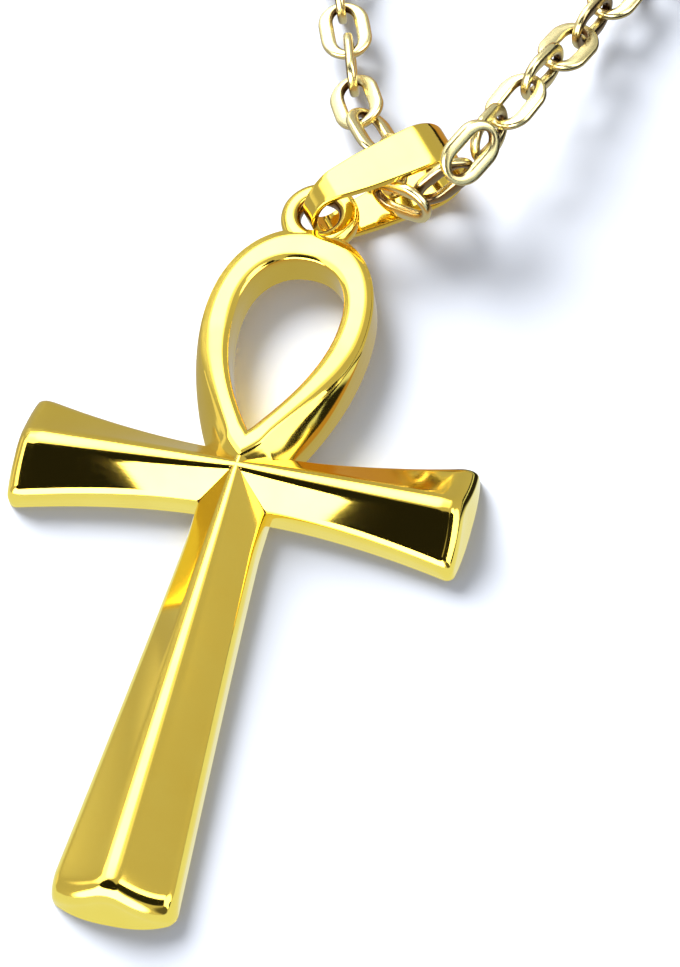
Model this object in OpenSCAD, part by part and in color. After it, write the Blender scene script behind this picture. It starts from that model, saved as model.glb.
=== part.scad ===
/* [Cross] */
// Width across both arms, tip to tip
arms_w = 27; // [20:0.5:44]
// Length from the crossing to the tip of the foot
foot_len = 27.9; // [18:0.1:44]
// Width of an arm beside the crossing
arm_neck_w = 3.9; // [2.6:0.1:6]
// Width of an arm at its end
arm_end_w = 7.1; // [4:0.1:12]
// Width of the foot beside the crossing
foot_neck_w = 4.2; // [2.6:0.1:6]
// Width of the foot at its end
foot_end_w = 7.2; // [4:0.1:12]
// Height of the upright rim round the cross
rim_h = 1.3; // [0.8:0.05:2]
// Height of the ridges where they cross
ridge_h = 3.15; // [2.7:0.05:5]
// Height of the ridges at the ends
end_ridge_h = 2.6; // [2.1:0.05:4]
// Width of the rounded top of a ridge
ridge_round = 0.7; // [0.2:0.05:1.2]
// How far the end of an arm bulges past its corners
arm_bow = 0.3; // [0:0.05:2]
// How far the end of the foot bulges past its corners
foot_bow = 0.85; // [0:0.05:2]
// Bevel along the top of each end
end_bevel = 0.55; // [0.1:0.05:0.7]
// How far the top of each end leans in
end_lean = 0.2; // [0:0.05:0.5]
// How late the arms widen, 1 is a straight taper
arm_flare = 2.0; // [1:0.1:3]
// How late the foot widens, 1 is a straight taper
foot_flare = 1.3; // [1:0.1:3]

/* [Loop] */
// Height of the loop above the crossing
loop_h = 17.1; // [12:0.1:28]
// Outer width of the loop
loop_w = 9.9; // [8:0.1:16]
// Width of the band at the top of the loop
band_top_w = 2.15; // [1.2:0.05:3]
// Width of the band at the sides of the loop
band_side_w = 1.8; // [1:0.05:2.6]
// Height of the hole's lower tip above the crossing
hole_tip = 2.4; // [1.6:0.1:4]
// Thickness of the band at its edges
band_edge_t = 2.2; // [1.4:0.05:3]
// How far the band's face is crowned above its edges
band_crown = 0.4; // [0.05:0.05:0.8]

/* [Eyelet] */
// Thickness of the eyelet ring on top of the loop
eyelet_wire = 1.2; // [0.8:0.05:1.8]
// Width of the hole in the eyelet
eyelet_hole = 2.3; // [2.2:0.05:3.5]
// Height of the middle of the eyelet above the back
eyelet_z = 1.7; // [1.3:0.05:2.4]
// How far the eyelet is set into the loop
eyelet_set_in = 1.2; // [0.6:0.05:1.6]

/* [Bail] */
// Overall length of the bail
bail_len = 9.7; // [8:0.1:16]
// Overall depth of the bail, strap to strap
bail_depth = 4.5; // [4:0.1:6]
// Thickness of the strap
bail_t = 0.42; // [0.3:0.02:0.6]
// Width of the strap where it passes the eyelet
bail_narrow_w = 1.3; // [0.8:0.05:1.4]
// Width of the strap at the chain's end
bail_wide_w = 3.3; // [2:0.1:5]
// Direction that the bail leans to, from the arms' line
bail_lean = 39.4; // [20:0.1:80]
// How far the strap lies back from the middle of the eyelet
bail_back = 0.55; // [0.2:0.05:0.6]

/* [Chain] */
// Length of the chain, clasp included
chain_len = 457; // [400:1:620]
// Length of a link
link_l = 4.2; // [3.6:0.1:6]
// Width of a link
link_w = 3.15; // [2.4:0.05:3.6]
// Thickness of a link's wire
link_wire = 0.56; // [0.4:0.02:0.7]
// Clearance between one link and the next
link_gap = 0.18; // [0.1:0.01:0.3]

/* [Clasp] */
// Outer width of the clasp's ring
clasp_w = 6.2; // [5:0.1:9]
// Thickness of the clasp's ring
clasp_wire = 1.2; // [0.8:0.05:1.4]
// Outer width of the small eye on the clasp
clasp_eye_w = 3.0; // [2.6:0.1:4]
// Thickness of the eye's wire
clasp_eye_wire = 0.7; // [0.5:0.05:0.9]

/* [Hidden] */
gold = "#d4a72c";
pale_gold = "#dcbf5a";
$fn = 32;

// Middle of the eyelet ring
eyelet_r = (eyelet_hole + eyelet_wire) / 2;
eyelet_y = loop_h - eyelet_set_in + eyelet_r + eyelet_wire / 2;

// Stations along an arm or the foot, as shares of its length
limb_shares = [0, 0.14, 0.28, 0.42, 0.56, 0.68, 0.8, 0.9];
// Share of a limb that keeps the width of its neck
neck_share = 0.15;
// Places across half a limb from the ridge to the rim, as shares
across_shares = [0.36, 0.6, 0.82, 1];
// How far the edge of the rounded ridge lies below its top
ridge_drop = 0.12;
// How much of the end bevel the rim takes
rim_bevel_share = 0.6;
bow_power = 2.6;
// Share of an end's bulge that its top edge keeps
top_bow_share = 0.3;

// How the band's face ends and rises on its way up from the crossing:
// share of the way, share across the band, share of the rise
face_rows = [
    [0.00, 0.62, 1.00],
    [0.035, 0.40, 1.00],
    [0.075, 0.37, 0.95],
    [0.15, 0.41, 0.85],
    [0.25, 0.52, 0.60],
    [0.35, 0.72, 0.30],
    [0.43, 0.88, 0.08],
    [0.52, 0.92, 0.00],
    [1.00, 0.92, 0.00]
];
loop_steps = 18;
// Heights of the widest places as shares of the loop's height
hole_widest = 0.645;
outline_widest = 0.615;
// Half-width of the loop's outline at the level of the crossing, as a share
root_share = 0.31;
// Fullness of the loop's shoulders, 2 is an ellipse
shoulder_power = 2.2;
crown_steps = 4;
// How much lower the band's outer edge is than its inner one
outer_edge_drop = 0.05;

// Strap widths along the bail: share of its length, share of the way to full width
strap_rows = [[0, 0], [0.08, 0.06], [0.2, 0.38], [0.4, 0.68], [0.65, 0.86], [1, 1]];
// By how much a cutting shape stands past what it cuts
spare = 1;

// The chain's way from the bail round to the bail. A row is: 1 by the bail or 0 beyond
// it, x, y from the bail's wide bend, share of the way up to the bail's top, turn of the
// links. By the bail, x and y follow its lean and are shares of a link's length, and
// beyond it they are shares of the chain's length. It starts at the bail's mouth.
chain_route = [
    [1, 0.1357, -0.5119, 0.554, 96],
    [1, 0.5476, -0.5738, 1.287, 148],
    [1, 1.1024, -0.1333, 0.759, 72],
    [1, 1.7095, 0.2, 0.859, 84],
    [1, 2.2905, 0.5405, 0.622, 90],
    [1, 2.85, 0.8786, 0.451, 90],
    [1, 3.3929, 1.2262, 0.186, 90],
    [1, 4.0929, 1.6476, 0.09, 90],
    [0, 0.0212, 0.04, 0, 90],
    [0, 0.0438, 0.0832, 0, 80],
    [0, 0.0842, 0.1597, 0, 60],
    [0, 0.1182, 0.2276, 0, 35],
    [0, 0.1335, 0.2801, 0, 10],
    [0, 0.1291, 0.3348, 0, 0],
    [0, 0.0974, 0.3829, 0, 0],
    [0, 0.0416, 0.4048, 0, 0],
    [0, -0.0175, 0.3961, 0, 0],
    [0, -0.0635, 0.3611, 0, 0],
    [0, -0.0832, 0.3107, 0, 0],
    [0, -0.0766, 0.256, 0, 0],
    [0, -0.0547, 0.1685, 0, 0],
    [0, -0.0306, 0.081, 0, 0],
    [0, -0.0166, 0.0228, 0, 0],
    [1, -0.0024, 2.4167, 0, 0],
    [1, -0.2429, 1.781, 0.048, 8],
    [1, -0.3095, 1.0905, 0.208, 46],
    [1, -0.3167, 0.3619, 0.223, 65],
    [1, -0.4833, -0.3786, 0.273, -2]
];
route_steps = 10;
// How far links that lie flat rest below the middle of the upright ones
flat_drop = 0.25;
// Where the clasp comes in, as a share of the chain
clasp_share = 0.5;

function mix(a, b, s) = a + (b - a) * s;

// Width of a limb at a share of its length
function limb_w(neck, end, flare, s) =
    mix(neck, end, pow(max(0, s - neck_share) / (1 - neck_share), flare));

// Top of half a limb from beside the ridge to the rim: across, height
function limb_slope(half_w, top, rim) =
    let (r = min(ridge_round / 2, 0.3 * half_w))
    concat(
        [[r, top - ridge_drop]],
        [for (a = across_shares) [a * half_w, mix(top, rim, a)]]
    );

function limb_top(half_w, top, rim) =
    let (slope = limb_slope(half_w, top, rim), n = len(slope))
    concat(
        [for (i = [n - 1 : -1 : 0]) [-slope[i][0], slope[i][1]]],
        [[0, top]],
        slope
    );

// A ring of points round a limb that runs along +X, bowed like its end
function limb_ring(reach, full, end_w, end_bow, half_w, top, rim, lean) =
    let (
        over = limb_top(half_w, top, rim),
        n = len(over),
        bow = [for (p = over) end_bow * reach / full * pow(abs(2 * p[0] / end_w), bow_power)],
        sunk = (1 - top_bow_share) * end_bow * reach / full
    )
    concat(
        [
            for (i = [0 : n - 1])
                let (
                    up = max(0, (over[i][1] - rim) / (top - rim)),
                    back = mix(bow[i], sunk + top_bow_share * bow[i], up)
                )
                [reach - back - lean * over[i][1] / top, over[i][0], over[i][1]]
        ],
        [for (i = [n - 1 : -1 : 0]) [reach - bow[i], over[i][0], 0]]
    );

function limb_rings(full, neck, end, flare, bow) =
    let (
        bevel_at = 1 - (end_bevel + end_lean) / full,
        end_top = end_ridge_h - end_bevel,
        end_rim = rim_h - rim_bevel_share * end_bevel
    )
    [
        for (s = concat(limb_shares, [bevel_at]))
            let (half_w = limb_w(neck, end, flare, s) / 2, top = mix(ridge_h, end_ridge_h, s))
            limb_ring(s * full, full, end, bow, half_w, top, rim_h, 0),
        limb_ring(full, full, end, bow, end / 2, end_top, end_rim, end_lean)
    ];

// Faces between ring a and ring b, each of n points
function band_faces(a, b, n) = [
    for (i = [0 : n - 1])
        let (j = (i + 1) % n)
        each [[a + i, b + j, a + j], [a + i, b + i, b + j]]
];

// Faces over the end of a limb, between the top and bottom halves of a ring
function cap_faces(a, n, flip) = [
    for (i = [0 : n / 2 - 2])
        let (p = a + i, q = a + i + 1, r = a + n - 2 - i, s = a + n - 1 - i)
        each flip ? [[p, r, q], [p, s, r]] : [[p, q, r], [p, r, s]]
];

// A closed skin through rings of equally many points, from end to end
module limb_skin(rings) {
    n = len(rings[0]);
    m = len(rings);
    polyhedron(
        points = [for (ring = rings) each ring],
        faces = concat(
            cap_faces(0, n, true),
            [for (k = [0 : m - 2]) each band_faces((k + 1) * n, k * n, n)],
            cap_faces((m - 1) * n, n, false)
        )
    );
}

// A skin through rings that come back to the first one
module closed_skin(rings) {
    n = len(rings[0]);
    m = len(rings);
    polyhedron(
        points = [for (ring = rings) each ring],
        faces = [for (k = [0 : m - 1]) each band_faces(k * n, (k + 1) % m * n, n)]
    );
}

// Lower half of the outline or of the hole's edge, at a share of the way up
function lower_curve(half_w, root_w, widest_y, root_y, s) =
    let (u = 1 - 2 * s)
    [mix(half_w, root_w, u * u), mix(widest_y, root_y, u)];

function upper_curve(half_w, widest_y, top_y, s) =
    let (a = 90 * (2 * s - 1), p = 2 / shoulder_power)
    [half_w * pow(max(cos(a), 0), p), widest_y + (top_y - widest_y) * pow(max(sin(a), 0), p)];

function outline_point(s) =
    s == 0 ? [0, -arm_neck_w / 4]
    : s < 0.5 ? lower_curve(loop_w / 2, loop_w / 2 * root_share, loop_h * outline_widest, 0, s)
    : upper_curve(loop_w / 2, loop_h * outline_widest, loop_h, s);

function hole_point(s) =
    let (half_w = loop_w / 2 - band_side_w)
    s < 0.5 ? lower_curve(half_w, 0, loop_h * hole_widest, hole_tip, s)
    : upper_curve(half_w, loop_h * hole_widest, loop_h - band_top_w, s);

function face_at(s, column) = lookup(s, [for (r = face_rows) [r[0], r[column]]]);

// Section of the band at a share of the way up, on the side given
function band_ring(s, side) =
    let (
        inner = hole_point(s),
        outer = outline_point(s),
        face = face_at(s, 1),
        rise = face_at(s, 2),
        edge_z = mix(band_edge_t, ridge_h - band_crown, rise),
        rim_z = mix(band_edge_t - outer_edge_drop, rim_h, min(1, 1.3 * rise)),
        section = concat(
            [[0, 0]],
            [for (i = [0 : crown_steps])
                let (v = i / crown_steps) [face * v, edge_z + band_crown * (1 - pow(2 * v - 1, 2))]],
            [[1, rim_z], [1, 0]]
        )
    )
    [for (p = section) [side * mix(inner[0], outer[0], p[0]), mix(inner[1], outer[1], p[0]), p[1]]];

module teardrop_loop() {
    shares = [for (i = [0 : loop_steps]) pow(i / loop_steps, 1.2)];
    right = [for (s = shares) band_ring(s, 1)];
    left = [for (i = [loop_steps - 1 : -1 : 1]) band_ring(shares[i], -1)];
    closed_skin(concat(right, left));
}

module arms() {
    out = limb_rings(arms_w / 2, arm_neck_w, arm_end_w, arm_flare, arm_bow);
    left = [for (k = [len(out) - 1 : -1 : 1])
        [for (p = out[k]) [-p[0], p[1], p[2]]]];
    limb_skin(concat(left, out));
}

module foot() {
    rotate([0, 0, -90])
        limb_skin(limb_rings(foot_len, foot_neck_w, foot_end_w, foot_flare, foot_bow));
}

// A ring of round wire, lying flat
module wire_ring(r, wire) {
    rotate_extrude() translate([r, 0]) circle(d = wire);
}

module ankh() {
    color(gold) {
        arms();
        foot();
        teardrop_loop();
        translate([0, eyelet_y, eyelet_z]) wire_ring(eyelet_r, eyelet_wire);
    }
}

// Side view of the strap loop, inset by a wall
module strap_side(inset) {
    r = bail_depth / 2 - inset;
    run = bail_len - bail_depth;
    for (x = [0, run]) translate([x, 0]) circle(r);
    translate([0, -r]) square([run, 2 * r]);
}

// Where the middles of the bail's bends lie along its lean
narrow_bend = bail_depth / 2 - bail_t / 2 - bail_back;
wide_bend = narrow_bend + bail_len - bail_depth;

module bail() {
    half = [for (r = strap_rows) [r[0] * bail_len, mix(bail_narrow_w, bail_wide_w, r[1]) / 2]];
    color(gold)
        translate([0, eyelet_y, bail_depth / 2])
            rotate([0, 0, bail_lean]) translate([narrow_bend, 0, 0])
                intersection() {
                    rotate([90, 0, 0]) linear_extrude(bail_wide_w + spare, center = true)
                        difference() {
                            strap_side(0);
                            strap_side(bail_t);
                        }
                    translate([-bail_depth / 2, 0, 0]) linear_extrude(bail_depth + spare, center = true)
                        polygon(concat(
                            half,
                            [for (i = [len(half) - 1 : -1 : 0]) [half[i][0], -half[i][1]]]
                        ));
                }
}

function turned(p, a) = [p[0] * cos(a) - p[1] * sin(a), p[0] * sin(a) + p[1] * cos(a)];

// A route row as a point: x, y, lift above where the chain rests, turn
function route_point(row) =
    let (
        unit = row[0] == 1 ? link_l : chain_len,
        bend = turned([wide_bend, 0], bail_lean),
        xy = [0, eyelet_y] + bend + turned(unit * [row[1], row[2]], row[0] * bail_lean),
        lift = row[3] * (bail_depth - link_w / 2)
    )
    [xy[0], xy[1], lift, row[4]];

route = [for (row = chain_route) route_point(row)];
route_n = len(route);
function route_at(i) = route[(i + route_n) % route_n];

// A smooth closed curve through them
function span_len(a, b) = norm([for (i = [0 : 2]) b[i] - a[i]]);

function tangent(p, q, r) =
    let (d = span_len(p, q), e = span_len(q, r))
    (q - p) / d - (r - p) / (d + e) + (r - q) / e;

function curve_point(p, q, r, s, t) =
    let (
        d = span_len(q, r),
        a = tangent(p, q, r) * d,
        b = tangent(q, r, s) * d,
        t2 = t * t,
        t3 = t2 * t
    )
    q * (2 * t3 - 3 * t2 + 1) + a * (t3 - 2 * t2 + t) + r * (3 * t2 - 2 * t3) + b * (t3 - t2);

way = [
    for (i = [0 : route_n - 1]) for (k = [0 : route_steps - 1])
        curve_point(route_at(i - 1), route_at(i), route_at(i + 1), route_at(i + 2), k / route_steps),
    route[0]
];
way_n = len(way);
way_at = [
    for (i = 0, s = 0; i < way_n; s = s + (i + 1 < way_n ? span_len(way[i], way[i + 1]) : 0), i = i + 1) s
];
way_len = way_at[way_n - 1];
way_tables = [for (c = [0 : 3]) [for (i = [0 : way_n - 1]) [way_at[i], way[i][c]]]];
function way_point(s) =
    let (
        w = s - floor(s / way_len) * way_len,
        p = [for (c = [0 : 3]) lookup(w, way_tables[c])]
    )
    [p[0], p[1], max(0, p[2]), p[3]];

// The clasp takes its place between two upright links
clasp_r = (clasp_w - clasp_wire) / 2;
clasp_eye_r = (clasp_eye_w - clasp_eye_wire) / 2;
link_reach = link_l / 2 - link_wire - link_gap;
to_ring = link_reach - clasp_wire / 2 + clasp_r;
to_eye = link_reach - clasp_eye_wire / 2 + clasp_eye_r;
ring_to_eye = clasp_r + clasp_eye_r + clasp_wire / 2;
clasp_span = to_ring + ring_to_eye + to_eye;

pitch_most = link_l - 2 * link_wire - link_gap;
link_gaps = 2 * ceil((way_len - clasp_span) / pitch_most / 2);
pitch = (way_len - clasp_span) / link_gaps;
// The link before the clasp, an upright one
before_clasp = 2 * floor(link_gaps * clasp_share / 2) + 1;
clasp_from = before_clasp * pitch;

// Height of the middle of a link with this turn where it rests
function rest_z(turn) =
    let (half = (link_w - link_wire) / 2)
    link_wire / 2 + half * max(abs(sin(turn)), abs(cos(turn))) - flat_drop * max(0, cos(2 * turn));

// Sets a child on the route, its X along the way, its face turned
module on_way(s, turn) {
    p = way_point(s);
    a = way_point(s - pitch / 2);
    b = way_point(s + pitch / 2);
    run = norm([b[0] - a[0], b[1] - a[1]]);
    t = turn + p[3];
    translate([p[0], p[1], p[2] + rest_z(t)])
        rotate([0, 0, atan2(b[1] - a[1], b[0] - a[0])])
            rotate([0, -atan2(b[2] - a[2], run), 0])
                rotate([t, 0, 0]) children();
}

module link() {
    bend_r = (link_w - link_wire) / 2;
    run = link_l - link_w;
    for (end = [-1, 1]) {
        translate([end * run / 2, 0, 0])
            rotate([0, 0, end * 90 - 180])
                rotate_extrude(angle = 180) translate([bend_r, 0]) circle(d = link_wire);
        translate([0, end * bend_r, 0])
            rotate([0, 90, 0]) cylinder(d = link_wire, h = run, center = true);
    }
}

module chain() {
    color(pale_gold)
        for (i = [0 : link_gaps])
            let (past = i > before_clasp)
            on_way(i * pitch + (past ? clasp_span - pitch : 0), (i % 2 == 1) != past ? 90 : 0) link();
}

module clasp() {
    from = way_point(clasp_from);
    to = way_point(clasp_from + clasp_span);
    color(pale_gold)
        translate([from[0], from[1], link_w / 2])
            rotate([0, 0, atan2(to[1] - from[1], to[0] - from[0])])
                translate([(norm([to[0] - from[0], to[1] - from[1]]) - clasp_span) / 2, 0, 0]) {
                    translate([to_ring, 0, 0]) wire_ring(clasp_r, clasp_wire);
                    translate([to_ring + ring_to_eye, 0, 0]) wire_ring(clasp_eye_r, clasp_eye_wire);
                }
}

ankh();
bail();
chain();
clasp();
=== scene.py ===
"""Looks of the ankh pendant on its chain: polished gold lying on a white table."""
import math

import bpy
import numpy as np
from mathutils import Matrix, Vector


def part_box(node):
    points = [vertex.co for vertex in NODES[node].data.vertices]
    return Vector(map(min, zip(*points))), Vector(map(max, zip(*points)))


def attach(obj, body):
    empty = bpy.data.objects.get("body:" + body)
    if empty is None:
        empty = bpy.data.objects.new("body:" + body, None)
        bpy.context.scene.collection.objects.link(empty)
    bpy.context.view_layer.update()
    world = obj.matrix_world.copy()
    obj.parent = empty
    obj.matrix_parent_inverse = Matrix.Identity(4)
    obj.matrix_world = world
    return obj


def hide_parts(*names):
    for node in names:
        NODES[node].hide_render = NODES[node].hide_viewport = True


bl_info = {
    "name": "Ankh Pendant",
    "version": (1, 0, 0),
    "blender": (4, 5, 0),
    "location": "View3D > Sidebar > Ankh",
    "description": "Builds a polished gold ankh pendant with its bail and cable chain",
    "category": "Add Mesh",
}

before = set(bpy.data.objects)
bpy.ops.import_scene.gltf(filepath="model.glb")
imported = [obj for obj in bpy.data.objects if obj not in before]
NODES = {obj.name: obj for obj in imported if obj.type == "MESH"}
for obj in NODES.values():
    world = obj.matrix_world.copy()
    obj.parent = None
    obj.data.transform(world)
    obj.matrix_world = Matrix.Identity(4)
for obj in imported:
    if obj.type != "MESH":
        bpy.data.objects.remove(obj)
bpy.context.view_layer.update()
MM = 0.001
ANKH_LOW, ANKH_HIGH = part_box("ankh")


def length(name, description, default_mm):
    """A length property, given in millimetres."""
    return bpy.props.FloatProperty(
        name=name, description=description, default=default_mm * MM, unit="LENGTH", precision=5
    )


def share(name, description, default):
    return bpy.props.FloatProperty(name=name, description=description, default=default)


def colour(name, description, default):
    return bpy.props.FloatVectorProperty(
        name=name, description=description, default=default, size=3, min=0, max=1, subtype="COLOR"
    )


class CrossSizes(bpy.types.PropertyGroup):
    reach: length("Arm reach", "Length of an arm from the crossing", ANKH_HIGH.x / MM)
    foot_reach: length("Foot length", "Length of the foot from the crossing", -ANKH_LOW.y / MM)
    arm_neck: length("Arm neck", "Width of an arm beside the crossing", 3.9)
    arm_end: length("Arm end", "Width of an arm at its end", 7.3)
    foot_neck: length("Foot neck", "Width of the foot beside the crossing", 4.2)
    foot_end: length("Foot end", "Width of the foot at its end", 7.42)
    rim: length("Rim height", "Height of the upright rim", 1.3)
    ridge: length("Ridge height", "Height of the ridges where they cross", 3.15)
    end_ridge: length("End ridge height", "Height of the ridges at the ends", 2.6)
    crossing_crest: length("Crossing crest", "Roundness of the ridges at the crossing", 0.45)
    arm_crest: length("Arm crest", "Roundness of the ridge at an arm's end", 1.6)
    foot_crest: length("Foot crest", "Roundness of the ridge at the foot's end", 1.9)
    arm_round: length("Arm end round", "Roundness of the top edge of an arm's end", 0.9)
    foot_round: length("Foot end round", "Roundness of the top edge of the foot's end", 1.25)
    hollow: share("Hollow", "How far the slopes are hollowed, as a share of half the width", 0.009)
    rim_radius: length("Rim radius", "Roundness of the rim's edge", 0.95)
    fillet: length("Fillet", "Roundness of the corners between foot and arms", 0.3)
    corner: length("Corner radius", "Roundness of the corners seen from above", 0.5)
    arm_bow: length("Arm bow", "How far an arm's end bulges", 0.3)
    foot_bow: length("Foot bow", "How far the foot's end bulges", 0.85)
    arm_flare: share("Arm flare", "How late the arms widen", 1.7)
    foot_flare: share("Foot flare", "How late the foot widens", 1.1)


class LoopSizes(bpy.types.PropertyGroup):
    height: length("Loop height", "Height of the loop above the crossing", 17.1)
    width: length("Loop width", "Outer width of the loop", 9.9)
    band_top: length("Top band", "Width of the band at the top", 2.15)
    band_side: length("Side band", "Width of the band at the sides", 1.8)
    hole_tip: length("Hole tip", "Height of the hole's tip above the crossing", 2.4)
    edge: length("Edge thickness", "Thickness of the band at its edges", 2.2)
    crown: length("Crown", "How far the face is crowned", 0.15)
    eyelet_wire: length("Eyelet wire", "Thickness of the eyelet", 1.2)
    eyelet_hole: length("Eyelet hole", "Width of the eyelet's hole", 2.3)
    eyelet_height: length("Eyelet height", "Height of the eyelet's middle", 1.7)
    eyelet_set_in: length("Eyelet set in", "How far it is set into the loop", 1.2)


class BailSizes(bpy.types.PropertyGroup):
    reach: length("Bail length", "Overall length of the bail", 9.7)
    depth: length("Bail depth", "Overall depth, strap to strap", 4.5)
    thickness: length("Strap thickness", "Thickness of the strap", 0.42)
    narrow: length("Narrow width", "Width where it passes the eyelet", 1.3)
    wide: length("Wide width", "Width at the chain's end", 3.3)
    back: length("Set back", "How far it lies back from the eyelet's middle", 0.55)
    lean: bpy.props.FloatProperty(
        name="Lean", description="Direction of the bail", default=math.radians(39.4), unit="ROTATION"
    )


class ChainSizes(bpy.types.PropertyGroup):
    link_length: length("Link length", "Outer length of a link", 4.2)
    link_width: length("Link width", "Outer width of a link", 3.15)
    side_wire: length("Side wire", "Width of the wire along a link's sides", 0.92)
    end_wire: length("End wire", "Width of the wire at a link's ends", 0.5)
    wire_depth: length("Wire depth", "Depth of the wire across the link's face", 0.56)


class GoldFinish(bpy.types.PropertyGroup):
    yellow: colour("Yellow gold", "Colour of the pendant", (0.94, 0.69, 0.11))
    pale: colour("Pale gold", "Colour of the chain", (0.90, 0.79, 0.40))
    # Painted shade: the brown the metal darkens to in the fillets, in the eyelet's hole, and at the links'
    # ends and undersides
    shade_brown: colour("Deep brown", "Colour of the crevices", (0.13, 0.055, 0.02))
    polish: share("Polish", "Roughness of the polished metal", 0.09)
    chain_polish: share("Chain polish", "Roughness of the chain and its clasp", 0.24)


class Stage(bpy.types.PropertyGroup):
    table: colour("Table", "Colour of the table", (0.93, 0.93, 0.94))
    focal: bpy.props.FloatProperty(name="Lens", description="Focal length", default=149.74)


def props():
    return bpy.context.scene.ankh_pendant


class PendantSettings(bpy.types.PropertyGroup):
    cross: bpy.props.PointerProperty(type=CrossSizes, name="Cross", description="Sizes of the cross")
    loop: bpy.props.PointerProperty(type=LoopSizes, name="Loop", description="Sizes of the loop")
    bail: bpy.props.PointerProperty(type=BailSizes, name="Bail", description="Sizes of the bail")
    chain: bpy.props.PointerProperty(type=ChainSizes, name="Chain", description="Sizes of the chain")
    gold: bpy.props.PointerProperty(type=GoldFinish, name="Gold", description="Finish of the gold")
    stage: bpy.props.PointerProperty(type=Stage, name="Stage", description="Table and camera")


# Shaders

class Sock:
    """A socket with the usual operators, each of which adds a Math node."""

    def __init__(self, tree, out):
        self.tree = tree
        self.out = out

    def math(self, operation, *others):
        node = self.tree.nodes.new("ShaderNodeMath")
        node.operation = operation
        for socket, value in zip(node.inputs, (self, *others)):
            if isinstance(value, Sock):
                self.tree.links.new(value.out, socket)
            else:
                socket.default_value = value
        return Sock(self.tree, node.outputs[0])

    def flipped(self, operation, other):
        """The operation with a number first and the socket second."""
        node = self.tree.nodes.new("ShaderNodeMath")
        node.operation = operation
        node.inputs[0].default_value = other
        self.tree.links.new(self.out, node.inputs[1])
        return Sock(self.tree, node.outputs[0])

    def __add__(self, other):
        return self.math("ADD", other)

    def __radd__(self, other):
        return self.math("ADD", other)

    def __sub__(self, other):
        return self.math("SUBTRACT", other)

    def __rsub__(self, other):
        return self.flipped("SUBTRACT", other)

    def __mul__(self, other):
        return self.math("MULTIPLY", other)

    def __rmul__(self, other):
        return self.math("MULTIPLY", other)


class Shader:
    """A node tree that is written as expressions."""

    def __init__(self, tree):
        self.tree = tree
        tree.nodes.clear()

    def node(self, kind, settings=None, inputs=None, output=0):
        """Adds a node: its settings first, then the values or links of its sockets."""
        node = self.tree.nodes.new(kind)
        for name, value in (settings or {}).items():
            setattr(node, name, value)
        for name, value in (inputs or {}).items():
            socket = node.inputs[name]
            if isinstance(value, Sock):
                self.tree.links.new(value.out, socket)
            else:
                socket.default_value = value
        return None if output is None else Sock(self.tree, node.outputs[output])

    def parts(self, vector):
        """The first two components of a vector."""
        return [self.node("ShaderNodeSeparateXYZ", {}, {0: vector}, output=name) for name in "XY"]


def object_mm(shader, stretch=(1, 1, 1)):
    """Object coordinates in millimetres, stretched."""
    coords = shader.node("ShaderNodeTexCoord", output="Object")
    return shader.node(
        "ShaderNodeMapping", {"vector_type": "POINT"}, {"Vector": coords, "Scale": [k / MM for k in stretch]}
    )


def between(shader, value, low, high):
    """Runs smoothly from 0 at low to 1 at high."""
    return shader.node(
        "ShaderNodeMapRange", {"interpolation_type": "SMOOTHSTEP"},
        {"Value": value, "From Min": low, "From Max": high},
    )


def toward(shader, vector, direction):
    """How far a vector goes along a direction."""
    return shader.node(
        "ShaderNodeVectorMath", {"operation": "DOT_PRODUCT"}, {0: vector, 1: direction}, output="Value"
    )


# The gold's finish: marks per millimetre, the stretch of the buffing marks, and the tint of the warm clouds
CLOUDS = 0.35
BUFFING = 1.6
GRAIN = 9.0
BUFFING_STRETCH = (0.5, 7.0, 7.0)
WARM_TINT = (0.97, 0.93, 0.8)
# How much the roughness varies, and how high the marks stand
UNEVEN = 0.05
MARK_HEIGHT = 0.02 * MM


def noise(shader, vector, scale, detail=2.0):
    return shader.node(
        "ShaderNodeTexNoise", {"noise_dimensions": "3D"},
        {"Vector": vector, "Scale": scale, "Detail": detail, "Roughness": 0.55},
    )


def gold(name, rgb, polish, wear=1.0):
    """Polished gold with faint buffing marks, a soft variation of polish, and painted brown shade where the
    mesh asks for it.
    """
    material = bpy.data.materials.new(name)
    material.use_nodes = True
    shader = Shader(material.node_tree)
    mm = object_mm(shader)
    cloud = noise(shader, mm, CLOUDS)
    buffed = noise(shader, object_mm(shader, BUFFING_STRETCH), BUFFING, 3.0)
    grain = noise(shader, mm, GRAIN, 3.0)
    warm = [c * k for c, k in zip(rgb, WARM_TINT)]
    cloudy = (cloud - 0.35) * 1.6
    clean = shader.node(
        "ShaderNodeMix", {"data_type": "RGBA"}, {"Factor": cloudy, "A": (*rgb, 1), "B": (*warm, 1)}, output=2
    )
    # Painted shade: the colour runs to brown where the mesh's attribute is high
    painted_shade = shader.node("ShaderNodeAttribute", {"attribute_name": "painted_shade"}, output="Fac")
    base = shader.node(
        "ShaderNodeMix", {"data_type": "RGBA"},
        {"Factor": painted_shade, "A": clean, "B": (*props().gold.shade_brown, 1)}, output=2,
    )
    rough = polish + (cloud - 0.5) * UNEVEN + (buffed - 0.5) * UNEVEN * wear
    height = buffed * 0.6 + grain * 0.4
    bump = shader.node(
        "ShaderNodeBump", {}, {"Strength": 0.04 * wear, "Distance": MARK_HEIGHT, "Height": height}
    )
    surface = shader.node(
        "ShaderNodeBsdfPrincipled", {},
        {"Base Color": base, "Metallic": 1.0, "Roughness": rough, "Normal": bump},
    )
    shader.node("ShaderNodeOutputMaterial", {}, {"Surface": surface}, output=None)
    return material


# Meshes

# Points closer than this are merged, in metres
MERGE = 1e-7


def start_alone():
    """Nothing selected, object mode."""
    if bpy.context.object and bpy.context.object.mode != "OBJECT":
        bpy.ops.object.mode_set(mode="OBJECT")
    bpy.ops.object.select_all(action="DESELECT")


def only(obj):
    start_alone()
    obj.select_set(True)
    bpy.context.view_layer.objects.active = obj


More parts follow.
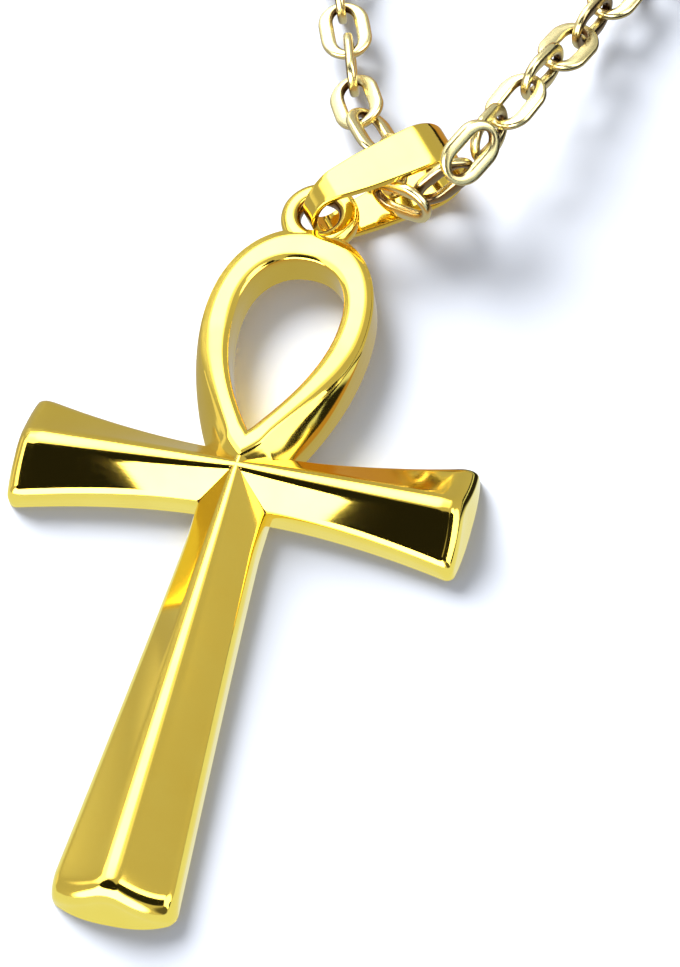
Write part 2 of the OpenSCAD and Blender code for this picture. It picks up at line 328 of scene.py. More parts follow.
def set_points(obj, points):
    flat = np.asarray(points, dtype=np.float64).reshape(-1)
    if len(flat) != 3 * len(obj.data.vertices):
        raise RuntimeError(f"{obj.name}: {len(flat) // 3} points for {len(obj.data.vertices)} vertices")
    obj.data.vertices.foreach_set("co", flat)
    obj.data.update()


def paint_shade(obj, painted_shade_spots):
    """Stores how much painted shade each point gets, which darkens the metal's colour towards brown."""
    obj.data.attributes.new("painted_shade", "FLOAT", "POINT")
    obj.data.attributes["painted_shade"].data.foreach_set("value", np.asarray(painted_shade_spots, dtype=float).reshape(-1))


def sheet_of(name, rows, painted_shade_spots=None):
    """A grid primitive laid over rows of points, closed along its edge."""
    rows = np.asarray(rows)
    start_alone()
    along, across = rows.shape[0] - 1, rows.shape[1] - 1
    bpy.ops.mesh.primitive_grid_add(x_subdivisions=across, y_subdivisions=along, size=MM)
    obj = bpy.context.object
    obj.name = name
    set_points(obj, rows)
    if painted_shade_spots is not None:
        paint_shade(obj, painted_shade_spots)
    bpy.ops.object.mode_set(mode="EDIT")
    bpy.ops.mesh.select_all(action="SELECT")
    bpy.ops.mesh.remove_doubles(threshold=MERGE)
    bpy.ops.mesh.select_mode(type="EDGE")
    bpy.ops.mesh.select_all(action="DESELECT")
    bpy.ops.mesh.select_non_manifold(extend=False)
    obj.update_from_editmode()
    if obj.data.total_edge_sel:
        bpy.ops.mesh.edge_face_add()
    bpy.ops.mesh.select_all(action="SELECT")
    bpy.ops.mesh.normals_make_consistent(inside=False)
    bpy.ops.object.mode_set(mode="OBJECT")
    return obj


def ring_of(name, rings, painted_shade_spots=None):
    """A torus primitive laid over rings of points, each ring a section."""
    rings = np.asarray(rings)
    start_alone()
    bpy.ops.mesh.primitive_torus_add(
        major_segments=rings.shape[0], minor_segments=rings.shape[1], major_radius=2 * MM, minor_radius=MM
    )
    obj = bpy.context.object
    obj.name = name
    set_points(obj, rings)
    if painted_shade_spots is not None:
        paint_shade(obj, painted_shade_spots)
    bpy.ops.object.mode_set(mode="EDIT")
    bpy.ops.mesh.select_all(action="SELECT")
    bpy.ops.mesh.remove_doubles(threshold=MERGE)
    bpy.ops.mesh.normals_make_consistent(inside=False)
    bpy.ops.object.mode_set(mode="OBJECT")
    return obj


def smooth(obj, degrees=24):
    only(obj)
    bpy.ops.object.shade_smooth_by_angle(angle=math.radians(degrees))


def dress(obj, material, node):
    """Gives a finished piece its metal and its place in the frame."""
    obj.data.materials.clear()
    obj.data.materials.append(material)
    for face in obj.data.polygons:
        face.material_index = 0
    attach(obj, "root")
    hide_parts(node)


def mix(a, b, s):
    return a + (b - a) * s


def eased(x):
    """Runs smoothly from 0 to 1 as x does."""
    x = np.clip(x, 0, 1)
    return x * x * (3 - 2 * x)


def turns(count):
    """Even steps of one full turn."""
    return np.linspace(0, 2 * math.pi, count, endpoint=False)


def squared(x, power):
    """A cosine or sine pushed outwards, which makes a circle a rounded square."""
    return math.copysign(abs(x) ** (2 / power), x)


# The cross

# Share of a limb that keeps its neck's width, how full its end wall's bulge is, and its share at the top edge
NECK_SHARE = 0.15
BOW_POWER = 2.6
TOP_BOW = 0.3
# Steps across a limb over its crest, slope and rim's edge, and how the slope's steps crowd towards the rim
CREST_STEPS = 8
SLOPE_STEPS = 14
RIM_STEPS = 7
SLOPE_CROWDING = 1.6
# Steps along an arm, along the foot and round an end's top edge
ARM_STEPS = 40
FOOT_STEPS = 64
END_STEPS = 14
# How early an end starts, in times its rounding, how the crest's roundness grows towards the end,
# and the share of the rim's height over which an end's drop fades out
END_START = 1.3
CREST_GROWTH = 0.8
DROP_FADE = 0.8
# How far the foot goes on under the loop, and its shares of width, length and height there
STEM = 2.1 * MM
STEM_SHARES = (0.45, 1, 0.9)
# Where the fillet runs along its corner, how deep it is sunk, how round it starts, and its steps
FILLET_WAY = (0.12, 0.96)
FILLET_SINK = 0.02 * MM
FILLET_START = 0.45
FILLET_STEPS = (20, 9)


def limb_half_width(neck, end, flare, s):
    return mix(neck, end, max(0.0, s - NECK_SHARE) ** flare / (1 - NECK_SHARE) ** flare) / 2


def slope_of(half, top, rim, ridge_r):
    """Angle of a slope under a rounded ridge, and the height where two such slopes would meet."""
    theta = math.atan((top - rim) / half)
    for _ in range(3):
        peak = top + ridge_r * (1 / math.cos(theta) - 1)
        theta = math.atan((peak - rim) / half)
    return theta, peak


def slope_columns(half, top, rim, ridge_r, rim_r, hollow):
    """Across half a limb from the ridge to the table: distance out and height."""
    theta, peak = slope_of(half, top, rim, ridge_r)
    columns = []
    for k in range(CREST_STEPS + 1):
        a = theta * k / CREST_STEPS
        columns.append((ridge_r * math.sin(a), peak - ridge_r / math.cos(theta) + ridge_r * math.cos(a)))
    start = ridge_r * math.sin(theta)
    stop = half - rim_r * (1 - math.sin(theta))
    for k in range(1, SLOPE_STEPS):
        t = 1 - (1 - k / SLOPE_STEPS) ** SLOPE_CROWDING
        y = mix(start, stop, t)
        columns.append((y, peak - y * math.tan(theta) - 4 * hollow * half * t * (1 - t)))
    centre = peak - stop * math.tan(theta) - rim_r * math.cos(theta)
    for k in range(RIM_STEPS + 1):
        a = mix(theta, math.pi / 2, k / RIM_STEPS)
        columns.append((half - rim_r + rim_r * math.sin(a), centre + rim_r * math.cos(a)))
    columns += [(half, centre * 0.5), (half, 0.0)]
    return columns


def limb_rows(sizes, full, neck, end, flare, bow, steps, end_crest, end_round):
    """Rows of points over a limb along +X, from the crossing to the foot of its end wall."""
    last = 1 - END_START * end_round / full

    def row(s, inset=None, drop=0.0, level=1.0):
        """Points across the limb, or over its end wall where an inset from the tip is given."""
        points = []
        half = limb_half_width(neck, end, flare, s)
        ridge_r = mix(sizes.crossing_crest, end_crest, s ** CREST_GROWTH)
        top = mix(sizes.ridge, sizes.end_ridge, s)
        hollow = sizes.hollow * float(eased(s * 2))
        columns = slope_columns(half, top, sizes.rim, ridge_r, sizes.rim_radius, hollow)
        for y, z in [(-y, z) for y, z in columns[::-1]] + columns[1:]:
            bulge = bow * abs(2 * y / end) ** BOW_POWER
            up = max(0.0, min(1.0, (z - sizes.rim) / (sizes.end_ridge - sizes.rim)))
            sunk = mix(bulge, mix(bow, bulge, TOP_BOW), up * level)
            over = max(0.0, abs(y) - (half - sizes.corner))
            back = sunk + sizes.corner - math.sqrt(max(0.0, sizes.corner ** 2 - over ** 2))
            if inset is None:
                x = s * full - back * float(eased((s - 0.5) / (last - 0.5)))
            else:
                x = full - back - inset
                z = max(0.0, z - drop * min(1.0, z / (DROP_FADE * sizes.rim)))
            wide = limb_half_width(neck, end, flare, x / full) / half
            points.append((x, y * wide, z))
        return points

    out = [row(s) for s in np.linspace(0.0, last, steps)]
    for a in np.linspace(0, math.pi / 2, END_STEPS + 1):
        out.append(row(1.0, end_round * (1 - math.sin(a)), end_round * (1 - math.cos(a))))
    for level in (0.5, 0.0):
        wall = np.array(row(1.0, 0.0, end_round, level))
        out.append(wall * [1, 1, level])
    return np.array(out)


def arms_mesh(sizes):
    half = limb_rows(
        sizes, sizes.reach, sizes.arm_neck, sizes.arm_end, sizes.arm_flare, sizes.arm_bow,
        ARM_STEPS, sizes.arm_crest, sizes.arm_round,
    )
    left = half[:0:-1] * [-1, 1, 1]
    return sheet_of("arms", np.concatenate([left, half]))


def foot_mesh(sizes):
    rows = limb_rows(
        sizes, sizes.foot_reach, sizes.foot_neck, sizes.foot_end, sizes.foot_flare, sizes.foot_bow,
        FOOT_STEPS, sizes.foot_crest, sizes.foot_round,
    )
    rows = rows[:, :, [1, 0, 2]] * [1, -1, 1]
    stem = rows[:1] * STEM_SHARES + [0, STEM, 0]
    return sheet_of("foot", np.concatenate([stem * [1, 1, 0], stem, rows]))


def fillet_mesh(sizes, side):
    """The small hollow along the corner between the foot and an arm, with a painted dark reflection along its
    middle.
    """
    arm_slope, peak = slope_of(sizes.arm_neck / 2, sizes.ridge, sizes.rim, sizes.crossing_crest)
    foot_slope, _ = slope_of(sizes.foot_neck / 2, sizes.ridge, sizes.rim, sizes.crossing_crest)
    arm_n = np.array([0, -math.sin(arm_slope), math.cos(arm_slope)])
    foot_n = np.array([side * math.sin(foot_slope), 0, math.cos(foot_slope)])
    start = np.array([0, 0, peak])
    stop = np.array([side * sizes.foot_neck / 2, -sizes.arm_neck / 2, sizes.rim])
    out = (arm_n + foot_n) / (1 + arm_n @ foot_n)
    along, across = FILLET_STEPS
    rows = []
    for t in np.linspace(*FILLET_WAY, along):
        valley = mix(start, stop, t) - out * FILLET_SINK
        r = sizes.fillet * mix(FILLET_START, 1.0, t)
        row = [valley]
        for u in np.linspace(0, 1, across):
            n = mix(arm_n, foot_n, u)
            row.append(valley + r * out - r * n / np.linalg.norm(n))
        row.append(valley)
        rows.append(row)
    rows = [[rows[0][0]] * len(rows[0]), *rows, [rows[-1][0]] * len(rows[0])]
    # Painted dark reflection along the middle of the hollow
    middle = 1 - np.abs(np.linspace(-1, 1, len(rows[0]))) ** 3
    return sheet_of("fillet", rows, np.tile(0.95 * eased(middle * 1.6 - 0.4), len(rows)))


# The loop

# Share of the way up, where the face ends across the band, and how far it rises to the ridge
FACE_ROWS = np.array([
    (0.00, 0.56, 1.00), (0.05, 0.49, 1.00), (0.10, 0.50, 0.94), (0.17, 0.56, 0.80), (0.25, 0.67, 0.60),
    (0.35, 0.83, 0.30), (0.43, 0.91, 0.08), (0.52, 0.93, 0.00), (1.00, 0.93, 0.00),
])
# How square the top is, and where the loop and its hole are widest, as shares of the height
SHOULDER = 2.2
LOOP_WIDEST = 0.615
HOLE_WIDEST = 0.645
# The width at the loop's root, as a share, and the share of the way in which it opens from the crossing
ROOT_SHARE = 0.31
FAN_SHARE = 0.03
# Steps round half the loop, and how they crowd towards the crossing
LOOP_STEPS = 72
LOOP_CROWDING = 1.5
# The lip at the hole: its width, at most this share of the band, and how far it drops
LIP = 0.14 * MM
LIP_MOST = 0.2
LIP_DROP = 0.12 * MM
# The crowned face and the outer slope: steps and how full their curves are
CROWN_STEPS = 16
CROWN_POWER = 3.2
SLOPE_OUT_STEPS = 9
SLOPE_OUT_POWER = 1.35
# The eyelet: steps round the ring and round its wire, and how square the wire is
EYELET_STEPS = (72, 28)
EYELET_POWER = 2.7


def face_at(s, column):
    """A column of FACE_ROWS at a share of the way up, on a smooth curve through the rows."""
    rows = FACE_ROWS
    k = min(len(rows) - 2, max(0, int(np.searchsorted(rows[:, 0], s, side="right")) - 1))
    before, here, there, after = (rows[min(len(rows) - 1, max(0, k + i))] for i in (-1, 0, 1, 2))
    p0, p1 = here[column], there[column]
    if p0 == p1:
        return p0
    span = there[0] - here[0]

    def climb(a, b):
        return (b[column] - a[column]) / (b[0] - a[0]) * span

    u = (s - here[0]) / span
    u2, u3 = u * u, u ** 3
    ends = p0 * (2 * u3 - 3 * u2 + 1) + p1 * (3 * u2 - 2 * u3)
    return ends + climb(before, there) * (u3 - 2 * u2 + u) + climb(here, after) * (u3 - u2)


def loop_curve(half, root, widest, low, top, s):
    """Half of a teardrop: out and up at a share of the way from its root to its top."""
    if s < 0.5:
        u = 1 - 2 * s
        return mix(half, root, u * u), mix(widest, low, u)
    a = math.pi / 2 * (2 * s - 1)
    p = 2 / SHOULDER
    return half * max(0.0, math.cos(a)) ** p, widest + (top - widest) * max(0.0, math.sin(a)) ** p


def loop_section(loop, cross, s, side):
    """One section of the band, from the table up the hole's wall, over the face and down outside."""
    half = loop.width / 2
    hole_top = loop.height - loop.band_top
    inner = loop_curve(half - loop.band_side, 0.0, loop.height * HOLE_WIDEST, loop.hole_tip, hole_top, s)
    outer = loop_curve(half, half * ROOT_SHARE, loop.height * LOOP_WIDEST, 0.0, loop.height, s)
    fan = float(eased(s / FAN_SHARE))
    outer = (outer[0] * fan, mix(-cross.arm_neck / 4, outer[1], fan))
    face = face_at(s, 1)
    rise_share = min(1.0, max(0.0, face_at(s, 2)))
    edge = mix(loop.edge, cross.ridge - loop.crown, rise_share)
    rim = mix(loop.edge - 0.05 * MM, cross.rim, min(1.0, 1.3 * rise_share))
    lip = min(LIP / math.dist(inner, outer), LIP_MOST)
    section = [(0.0, 0.0), (0.0, edge * 0.5), (0.0, edge - LIP_DROP), (lip * 0.12, edge - LIP_DROP / 3)]
    for v in np.linspace(0, 1, CROWN_STEPS + 1):
        crown = loop.crown * (1 - abs(2 * v - 1) ** CROWN_POWER)
        section.append((mix(lip * 0.5, face, v), edge + crown + 0.02 * MM))
    for t in np.arange(1, SLOPE_OUT_STEPS) / SLOPE_OUT_STEPS:
        down = 0.05 + 0.88 * t ** SLOPE_OUT_POWER
        section.append((mix(face, 1.0, 0.03 + 0.92 * t), mix(edge, rim, down)))
    section.append((mix(face, 1.0, 0.965), mix(edge, rim, 0.965)))
    section += [(1.0, rim - 0.1 * MM), (1.0, rim * 0.5), (1.0, 0.0)]
    return [(side * mix(inner[0], outer[0], a), mix(inner[1], outer[1], a), z) for a, z in section]


def loop_mesh(loop, cross):
    shares = [(i / LOOP_STEPS) ** LOOP_CROWDING for i in range(LOOP_STEPS + 1)]
    rings = [loop_section(loop, cross, s, 1) for s in shares]
    rings += [loop_section(loop, cross, s, -1) for s in shares[-2:0:-1]]
    return ring_of("loop", rings)


def eyelet_middle(loop):
    """How far above the crossing the eyelet's middle lies."""
    return loop.height - loop.eyelet_set_in + loop.eyelet_hole / 2 + loop.eyelet_wire


def eyelet_mesh(loop):
    """The ring on top of the loop, its face a little flattened and painted shade on the inner wall of its
    hole.
    """
    half = loop.eyelet_wire / 2
    radius = loop.eyelet_hole / 2 + half
    middle = eyelet_middle(loop)
    rings = []
    marks = []
    for a in turns(EYELET_STEPS[0]):
        ring = []
        for b in turns(EYELET_STEPS[1]):
            out = radius + half * squared(math.cos(b), EYELET_POWER)
            up = half * squared(math.sin(b), EYELET_POWER)
            ring.append((out * math.cos(a), middle + out * math.sin(a), loop.eyelet_height + up))
            # Painted shade on the inner wall of the hole
            marks.append(0.9 * float(eased((-math.cos(b) - 0.3) / 0.35)))
        rings.append(ring)
    return ring_of("eyelet", rings, marks)


def joined(parts, name):
    start_alone()
    for part in parts:
        part.select_set(True)
    bpy.context.view_layer.objects.active = parts[0]
    bpy.ops.object.join()
    parts[0].name = name
    return parts[0]


class ANKH_OT_pendant(bpy.types.Operator):
    """Builds the cross, its teardrop loop and the eyelet as one piece"""
    bl_idname = "ankh.build_pendant"
    bl_label = "Ankh"

    def execute(self, context):
        settings = props()
        parts = [
            arms_mesh(settings.cross), foot_mesh(settings.cross),
            fillet_mesh(settings.cross, 1), fillet_mesh(settings.cross, -1),
            loop_mesh(settings.loop, settings.cross), eyelet_mesh(settings.loop),
        ]
        for part in parts:
            smooth(part)
        ankh = joined(parts, "ankh_cast")
        dress(ankh, gold("yellow gold", settings.gold.yellow, settings.gold.polish), "ankh")
        return {"FINISHED"}


# The bail

# Share of the bail's length, and share of the way from its narrow to its wide width
STRAP = np.array([(0.0, 0.0), (0.08, 0.06), (0.2, 0.38), (0.4, 0.68), (0.65, 0.86), (1.0, 1.0)])
# The widths are averaged over these neighbouring shares
STRAP_BLUR = (-0.05, -0.025, 0.0, 0.025, 0.05)
# Steps round a bend, along a straight stretch, round an edge and across the strap, and the edges' rounding
BEND_STEPS = 40
RUN_STEPS = 24
EDGE_STEPS = 4
ACROSS_STEPS = 6
STRAP_EDGE = 0.09 * MM


def strap_width(bail, x):
    s = np.clip(x / bail.reach, 0, 1)
    near = [np.interp(np.clip(s + d, 0, 1), STRAP[:, 0], STRAP[:, 1]) for d in STRAP_BLUR]
    return mix(bail.narrow, bail.wide, sum(near) / len(near))


def strap_path(run):
    """Round the bail from below: place of the bend's axis along it, and the way out as a direction."""
    path = []
    for start, x, step, up in ((-90, run, -run / RUN_STEPS, 1.0), (90, 0.0, run / RUN_STEPS, -1.0)):
        for a in np.radians(start + np.linspace(0, 180, BEND_STEPS, endpoint=False)):
            path.append((x, math.cos(a), math.sin(a)))
        path += [(x + step * k, 0.0, up) for k in range(RUN_STEPS)]
    return path


def strap_section(bail, half):
    """Across the strap with its rounded edges: distance from the bend's axis, and to the side."""
    outer = bail.depth / 2 - STRAP_EDGE
    inner = bail.depth / 2 - bail.thickness + STRAP_EDGE
    wide = half - STRAP_EDGE
    corners = [(outer, wide, 0), (outer, -wide, -90), (inner, -wide, -180), (inner, wide, -270)]
    section = []
    for i, (out, y, start) in enumerate(corners):
        for a in np.radians(np.linspace(start + 90, start, EDGE_STEPS + 1)):
            section.append((out + STRAP_EDGE * math.cos(a), y + STRAP_EDGE * math.sin(a)))
        if i % 2 == 0:
            level, side = section[-1]
            for k in range(1, ACROSS_STEPS):
                section.append((level, mix(side, corners[i + 1][1], k / ACROSS_STEPS)))
    return section


class ANKH_OT_bail(bpy.types.Operator):
    """Builds the tapered strap loop that holds the chain"""
    bl_idname = "ankh.build_bail"
    bl_label = "Bail"

    def execute(self, context):
        settings = props()
        bail = settings.bail
        r = bail.depth / 2
        rings = []
        for x, along, up in strap_path(bail.reach - bail.depth):
            half = strap_width(bail, x + along * r + r) / 2
            rings.append([(x + out * along, y, out * up) for out, y in strap_section(bail, half)])
        placed = np.array(rings) + [r - bail.thickness / 2 - bail.back, 0, r]
        c, s = math.cos(bail.lean), math.sin(bail.lean)
        turned = placed @ np.array([(c, s, 0), (-s, c, 0), (0, 0, 1)])
        strap = ring_of("bail_strap", turned + [0, eyelet_middle(settings.loop), 0])
        smooth(strap, 30)
        dress(strap, gold("bail gold", settings.gold.yellow, settings.gold.polish, 1.2), "bail")
        return {"FINISHED"}


# The chain

# How square a link's wire is, and how its width grows from the ends to the sides
WIRE_POWER = 3.0
SIDE_POWER = 1.5
# Links near this place are seen closely: how far that goes, and the steps round a link and round its wire,
# of the near links and of the far ones
SEEN_AT = np.array([0.005, 0.022, 0.0])
SEEN_WITHIN = 26 * MM
NEAR_STEPS = (56, 16)
FAR_STEPS = (20, 6)


def link_shape(chain, around, across):
    """Points of one link lying flat, its length along X, and how much painted shade each gets, at the ends
    where links meet and along the underside.
    """
    straight = (chain.link_length - chain.link_width) / 2
    rings = []
    marks = []
    for a in turns(around):
        c, s = math.cos(a), math.sin(a)
        half_wire = mix(chain.end_wire, chain.side_wire, abs(s) ** SIDE_POWER) / 2
        middle = chain.link_width / 2 - half_wire
        shift = math.copysign(straight, c) if abs(c) > 1e-6 else 0.0
        ring = []
        for b in turns(across):
            out = middle + half_wire * squared(math.cos(b), WIRE_POWER)
            z = chain.wire_depth / 2 * squared(math.sin(b), WIRE_POWER)
            ring.append((shift + out * c, out * s, z))
            # Painted shade at the inner ends where the next link rests, and along the wire's underside
            touch_shade = 0.9 * float(eased((abs(c) - 0.55) / 0.35) * eased((-math.cos(b) - 0.1) / 0.5))
            under = 0.8 * float(eased((-math.sin(b) - 0.1) / 0.6))
            marks.append(max(touch_shade, under))
        rings.append(ring)
    return np.array(rings), marks


def link_places():
    """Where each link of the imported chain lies: centre, direction, side and face."""
    loose = NODES["chain"].copy()
    loose.data = NODES["chain"].data.copy()
    bpy.context.scene.collection.objects.link(loose)
    only(loose)
    bpy.ops.object.mode_set(mode="EDIT")
    bpy.ops.mesh.select_all(action="SELECT")
    bpy.ops.mesh.remove_doubles(threshold=MERGE)
    bpy.ops.mesh.separate(type="LOOSE")
    bpy.ops.object.mode_set(mode="OBJECT")
    places = []
    for obj in list(bpy.context.selected_objects):
        points = np.empty(3 * len(obj.data.vertices))
        obj.data.vertices.foreach_get("co", points)
        points = points.reshape(-1, 3)
        centre = points.mean(0)
        _, _, (along, side, up) = np.linalg.svd(points - centre, full_matrices=False)
        if np.cross(along, side)[2] < 0:
            side = -side
        up = np.cross(along, side)
        for axis in (along, side, up):
            reach = (points - centre) @ axis
            centre = centre + (reach.max() + reach.min()) / 2 * axis
        places.append((centre, along, side, up))
        bpy.data.objects.remove(obj)
    return places


class ANKH_OT_chain(bpy.types.Operator):
    """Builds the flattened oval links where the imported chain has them"""
    bl_idname = "ankh.build_chain"
    bl_label = "Chain"

    def execute(self, context):
        settings = props()
        near = []
        far = []
        for place in link_places():
            group = near if np.linalg.norm(place[0] - SEEN_AT) < SEEN_WITHIN else far
            group.append(place)
        parts = []
        for group, steps in ((near, NEAR_STEPS), (far, FAR_STEPS)):
            shape, marks = link_shape(settings.chain, *steps)
            for centre, along, side, up in group:
                points = centre + shape @ np.array([along, side, up])
                parts.append(ring_of("link", points, marks))
        for part in parts:
            smooth(part, 60)
        chain = joined(parts, "chain_links")
        dress(chain, gold("pale gold", settings.gold.pale, settings.gold.chain_polish, 1.5), "chain")
        return {"FINISHED"}


class ANKH_OT_clasp(bpy.types.Operator):
    """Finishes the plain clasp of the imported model"""
    bl_idname = "ankh.finish_clasp"
    bl_label = "Clasp"

    def execute(self, context):
        settings = props()
        clasp = NODES["clasp"]
        clasp.data.materials.clear()
        clasp.data.materials.append(gold("clasp gold", settings.gold.pale, settings.gold.chain_polish, 1.5))
        smooth(clasp, 30)
        return {"FINISHED"}


# The stage

# What the metal mirrors: direction, half-angle, soft edge, brightness
STUDIO = [
    ((-0.22, 0.48, 0.85), 21, 7, 1.25),
    ((-0.45, 0.25, 0.86), 13, 6, 3.0),
    ((-0.62, -0.05, 0.78), 12, 8, 3.0),
    ((-0.24, 0.62, 0.75), 9, 8, 5.0),
    ((-0.26, 0.27, 0.93), 9, 8, 5.0),
    ((-0.27, 0.45, 0.85), 10, 8, 6.0),
    ((-0.22, -0.88, 0.41), 27, 7, 7.0),
    ((0.88, -0.05, 0.46), 20, 8, 4.0),
    ((-0.98, 0.15, 0.00), 12, 8, 1.0),
    ((0.70, -0.65, 0.25), 16, 8, 0.12),
    ((0.48, 0.06, 0.87), 9, 4, 5.0),
    ((0.42, -0.35, 0.84), 16, 2, 0.02),
    ((-0.22, -0.46, 0.86), 22.5, 1.5, 0.015),
    ((0.99, -0.06, 0.05), 9, 2, 0.02),
]
# The rest of the mirrored sky: its brightness, and how that grows to the right and falls away from the camera
SKY = 0.59
SKY_RIGHT = 0.05
SKY_FAR = 0.08
# The soft light that falls on the table, over an even sky
LIGHT = [
    ((-0.63, 0.63, 0.45), 10, 14, 24.0),
]
EVEN_LIGHT = 0.42
LIGHT_COLOUR = (0.93, 0.985, 1.09)
# How bright the metal mirrors the table, as painted light and shade that it glows with: lit, in shade, in
# warm shade and dark
TABLE_LIT = (0.88, 1.02, 1.22)
TABLE_SHADE = (0.50, 0.50, 0.50)
TABLE_WARM_SHADE = (0.52, 0.31, 0.13)
TABLE_DARK = (0.02, 0.02, 0.02)
# Where the mirrored table glows with painted light: in front of the arms, and past the right arm up to a
# line, in millimetres
LIT_IN_FRONT = (1.5, -2.5)
LIT_RIGHT = (12.5, 13.5)
LIT_RIGHT_UP_TO = (5, 7)
# How steep a mirrored ray is that sees neither the painted warm shade nor the painted dark zone, and where
# shallow ones see them, in millimetres
STEEP = (0.6, 0.75)
WARM_FROM = (-4, 0)
DARK_FROM = (9.5, 12)
DARK_BEHIND = (1, 3)
# The painted lit streak across the painted dark, in millimetres from the arms
STREAK_FROM = (8, 9.5)
STREAK_TO = (13, 16)
# The table is a hair lower than the pendant's back, so that they share no plane
TABLE_SIZE = 3.0
TABLE_DROP = 0.02 * MM
SENSOR = 36
CAMERA_AT = (0.05618, -0.10979, 0.19543)
CAMERA_AXES = ((0.9622, 0.2503, -0.1076), (-0.1601, 0.839, 0.52), (0.2204, -0.4831, 0.8474))


def patch(shader, way, direction, wide, soft):
    """A soft-edged round patch of the sky."""
    near = toward(shader, way, Vector(direction).normalized())
    return between(shader, near, math.cos(math.radians(wide + soft)), math.cos(math.radians(wide)))


def sky():
    """A studio round the table: bright sheets and dark gaps that the metal mirrors, and plain soft light."""
    world = bpy.data.worlds.new("studio")
    bpy.context.scene.world = world
    world.use_nodes = True
    shader = Shader(world.node_tree)
    way = shader.node("ShaderNodeTexCoord", output="Generated")
    right, far = shader.parts(way)
    level = SKY + right * SKY_RIGHT - far * SKY_FAR
    for direction, wide, soft, value in STUDIO:
        spot = patch(shader, way, direction, wide, soft)
        level = level * (1 - spot) + spot * value
    falling = EVEN_LIGHT
    for direction, wide, soft, value in LIGHT:
        falling = falling + patch(shader, way, direction, wide, soft) * value
    mirrored = shader.node("ShaderNodeBackground", {}, {"Color": (1, 1, 1, 1), "Strength": level})
    light = shader.node("ShaderNodeBackground", {}, {"Color": (*LIGHT_COLOUR, 1), "Strength": falling})
    white = shader.node("ShaderNodeBackground", {}, {"Color": (1, 1, 1, 1), "Strength": 1.0})
    bounced = shader.node("ShaderNodeLightPath", output="Diffuse Depth")
    glossy = shader.node("ShaderNodeLightPath", output="Is Glossy Ray") * bounced.math("LESS_THAN", 0.5)
    seen = shader.node("ShaderNodeLightPath", output="Is Camera Ray")
    lit = shader.node("ShaderNodeMixShader", {}, {"Fac": glossy, 1: light, 2: mirrored})
    both = shader.node("ShaderNodeMixShader", {}, {"Fac": seen, 1: lit, 2: white})
    shader.node("ShaderNodeOutputWorld", {}, {"Surface": both}, output=None)


def table_white(rgb):
    """A matt white table, which the metal mirrors as glowing zones of painted light and shade: lit, cool
    shade, warm shade and dark.
    """
    material = bpy.data.materials.new("white table")
    material.use_nodes = True
    shader = Shader(material.node_tree)
    right, far = shader.parts(object_mm(shader))

    def glow(tone):
        return shader.node("ShaderNodeEmission", {}, {"Color": (*tone, 1), "Strength": 1.0})

    def blend(amount, first, second):
        return shader.node("ShaderNodeMixShader", {}, {"Fac": amount, 1: first, 2: second})

    back = shader.node("ShaderNodeNewGeometry", output="Incoming")
    shallow = 1 - between(shader, toward(shader, back, (0, 0, 1)), *STEEP)
    warm = between(shader, right, *WARM_FROM) * shallow
    past_arm = between(shader, right, *LIT_RIGHT) * (1 - between(shader, far, *LIT_RIGHT_UP_TO))
    lit = between(shader, far, *LIT_IN_FRONT).math("MAXIMUM", past_arm)
    dark = between(shader, right, *DARK_FROM) * between(shader, far, *DARK_BEHIND) * shallow
    streak = between(shader, far, *STREAK_FROM) * (1 - between(shader, far, *STREAK_TO))
    # What the metal mirrors here: painted cool shade, painted warm shade right of the middle for shallow
    # rays, painted light, and a painted dark with a lit streak
    mirrored = blend(warm, glow(TABLE_SHADE), glow(TABLE_WARM_SHADE))
    mirrored = blend(lit, mirrored, glow(TABLE_LIT))
    mirrored = blend(dark, mirrored, blend(streak, glow(TABLE_DARK), glow(TABLE_LIT)))
    white = shader.node("ShaderNodeBsdfDiffuse", {}, {"Color": (*rgb, 1)})
    glossy = shader.node("ShaderNodeLightPath", output="Is Glossy Ray")
    shader.node("ShaderNodeOutputMaterial", {}, {"Surface": blend(glossy, white, mirrored)}, output=None)
    return material


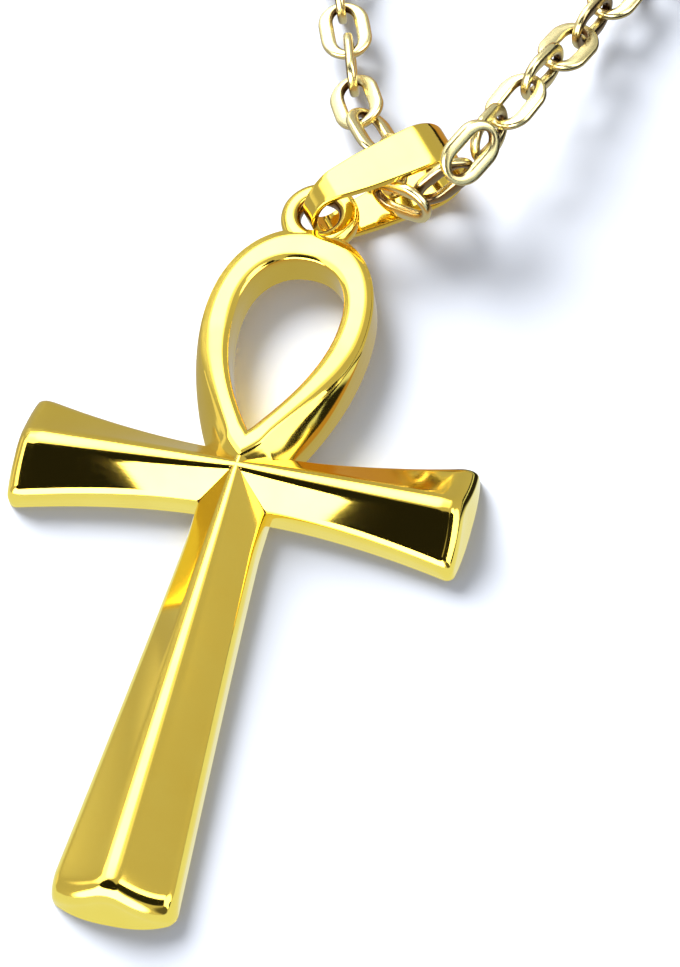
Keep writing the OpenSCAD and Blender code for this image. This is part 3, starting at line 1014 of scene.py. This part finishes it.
class ANKH_OT_stage(bpy.types.Operator):
    """Sets the white table, the soft studio light and the camera"""
    bl_idname = "ankh.set_stage"
    bl_label = "Stage"

    def execute(self, context):
        stage = props().stage
        start_alone()
        bpy.ops.mesh.primitive_plane_add(size=TABLE_SIZE, location=(0, 0, -TABLE_DROP))
        table = bpy.context.object
        table.name = "table"
        table.data.materials.append(table_white(stage.table))
        sky()
        camera_data = bpy.data.cameras.new("camera")
        camera_data.lens = stage.focal
        camera_data.sensor_width = SENSOR
        camera_data.clip_start = 0.01
        camera_data.clip_end = 20
        camera = bpy.data.objects.new("camera", camera_data)
        columns = Matrix(CAMERA_AXES).transposed().to_4x4()
        camera.matrix_world = Matrix.Translation(CAMERA_AT) @ columns
        context.scene.collection.objects.link(camera)
        context.scene.camera = camera
        context.scene.view_settings.view_transform = "Standard"
        context.scene.view_settings.look = "None"
        return {"FINISHED"}


class ANKH_PT_panel(bpy.types.Panel):
    """Lists the pendant's pieces"""
    bl_label = "Ankh pendant"
    bl_idname = "ANKH_PT_panel"
    bl_space_type = "VIEW_3D"
    bl_region_type = "UI"
    bl_category = "Ankh"

    def draw(self, context):
        settings = props()
        for group in ("cross", "loop", "bail", "chain", "gold", "stage"):
            box = self.layout.box()
            box.label(text=group.capitalize())
            values = getattr(settings, group)
            for name in values.__annotations__:
                box.prop(values, name)
        for operator in OPERATORS:
            self.layout.operator(operator.bl_idname)


OPERATORS = (ANKH_OT_pendant, ANKH_OT_bail, ANKH_OT_chain, ANKH_OT_clasp, ANKH_OT_stage)
GROUPS = (CrossSizes, LoopSizes, BailSizes, ChainSizes, GoldFinish, Stage, PendantSettings)


def register():
    for cls in (*GROUPS, *OPERATORS, ANKH_PT_panel):
        bpy.utils.register_class(cls)
    bpy.types.Scene.ankh_pendant = bpy.props.PointerProperty(type=PendantSettings)


def unregister():
    del bpy.types.Scene.ankh_pendant
    for cls in reversed((*GROUPS, *OPERATORS, ANKH_PT_panel)):
        bpy.utils.unregister_class(cls)


def main():
    register()
    bpy.ops.ankh.build_pendant()
    bpy.ops.ankh.build_bail()
    bpy.ops.ankh.build_chain()
    bpy.ops.ankh.finish_clasp()
    bpy.ops.ankh.set_stage()


if __name__ == "__main__":
    main()
